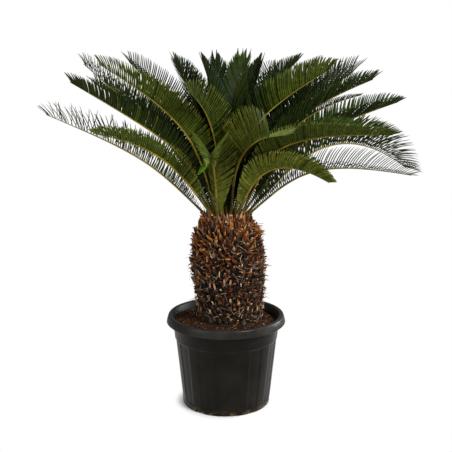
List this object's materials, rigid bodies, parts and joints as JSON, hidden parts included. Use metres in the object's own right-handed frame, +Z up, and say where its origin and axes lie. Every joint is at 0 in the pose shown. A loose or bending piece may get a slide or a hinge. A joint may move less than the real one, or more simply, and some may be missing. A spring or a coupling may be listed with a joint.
{
  "type": "potted sago palm",
  "caption": "Sago palm with a stout scaly trunk and a broad crown of stiff feather-shaped fronds, growing in a round plastic nursery pot.",
  "frame": {"origin": "centre of the pot's flat underside, on the pot's own axis", "axes": "+Z up along the pot's axis; -Y towards the plant's front, +X to its right as seen from the front"},
  "size_m": [1.6407, 1.2764, 1.4875],
  "materials": {
    "pot": "satin",
    "soil": "matte",
    "bark": "matte",
    "frond": "satin"
  },
  "bodies": {
    "root": {"pot": "pot", "soil": "soil", "trunk": "bark", "frond_front_centre": "frond", "frond_front_hooked": "frond", "frond_front_upright": "frond", "frond_front_right_low": "frond", "frond_front_left_low": "frond", "frond_front_left_high": "frond", "frond_front_right_high": "frond", "frond_right_a": "frond", "frond_right_b": "frond", "frond_right_c": "frond", "frond_right_d": "frond", "frond_right_arched": "frond", "frond_right_e": "frond", "frond_right_f": "frond", "frond_right_g": "frond", "frond_right_h": "frond", "frond_left_a": "frond", "frond_left_b": "frond", "frond_left_c": "frond", "frond_left_d": "frond", "frond_left_e": "frond", "frond_top_a": "frond", "frond_top_b": "frond", "frond_top_c": "frond", "frond_top_d": "frond", "frond_top_e": "frond", "frond_top_f": "frond", "frond_top_g": "frond", "frond_back_a": "frond", "frond_back_b": "frond", "frond_back_c": "frond", "frond_back_d": "frond", "frond_back_e": "frond", "frond_back_f": "frond", "frond_back_g": "frond"}
  },
  "joints": []
}
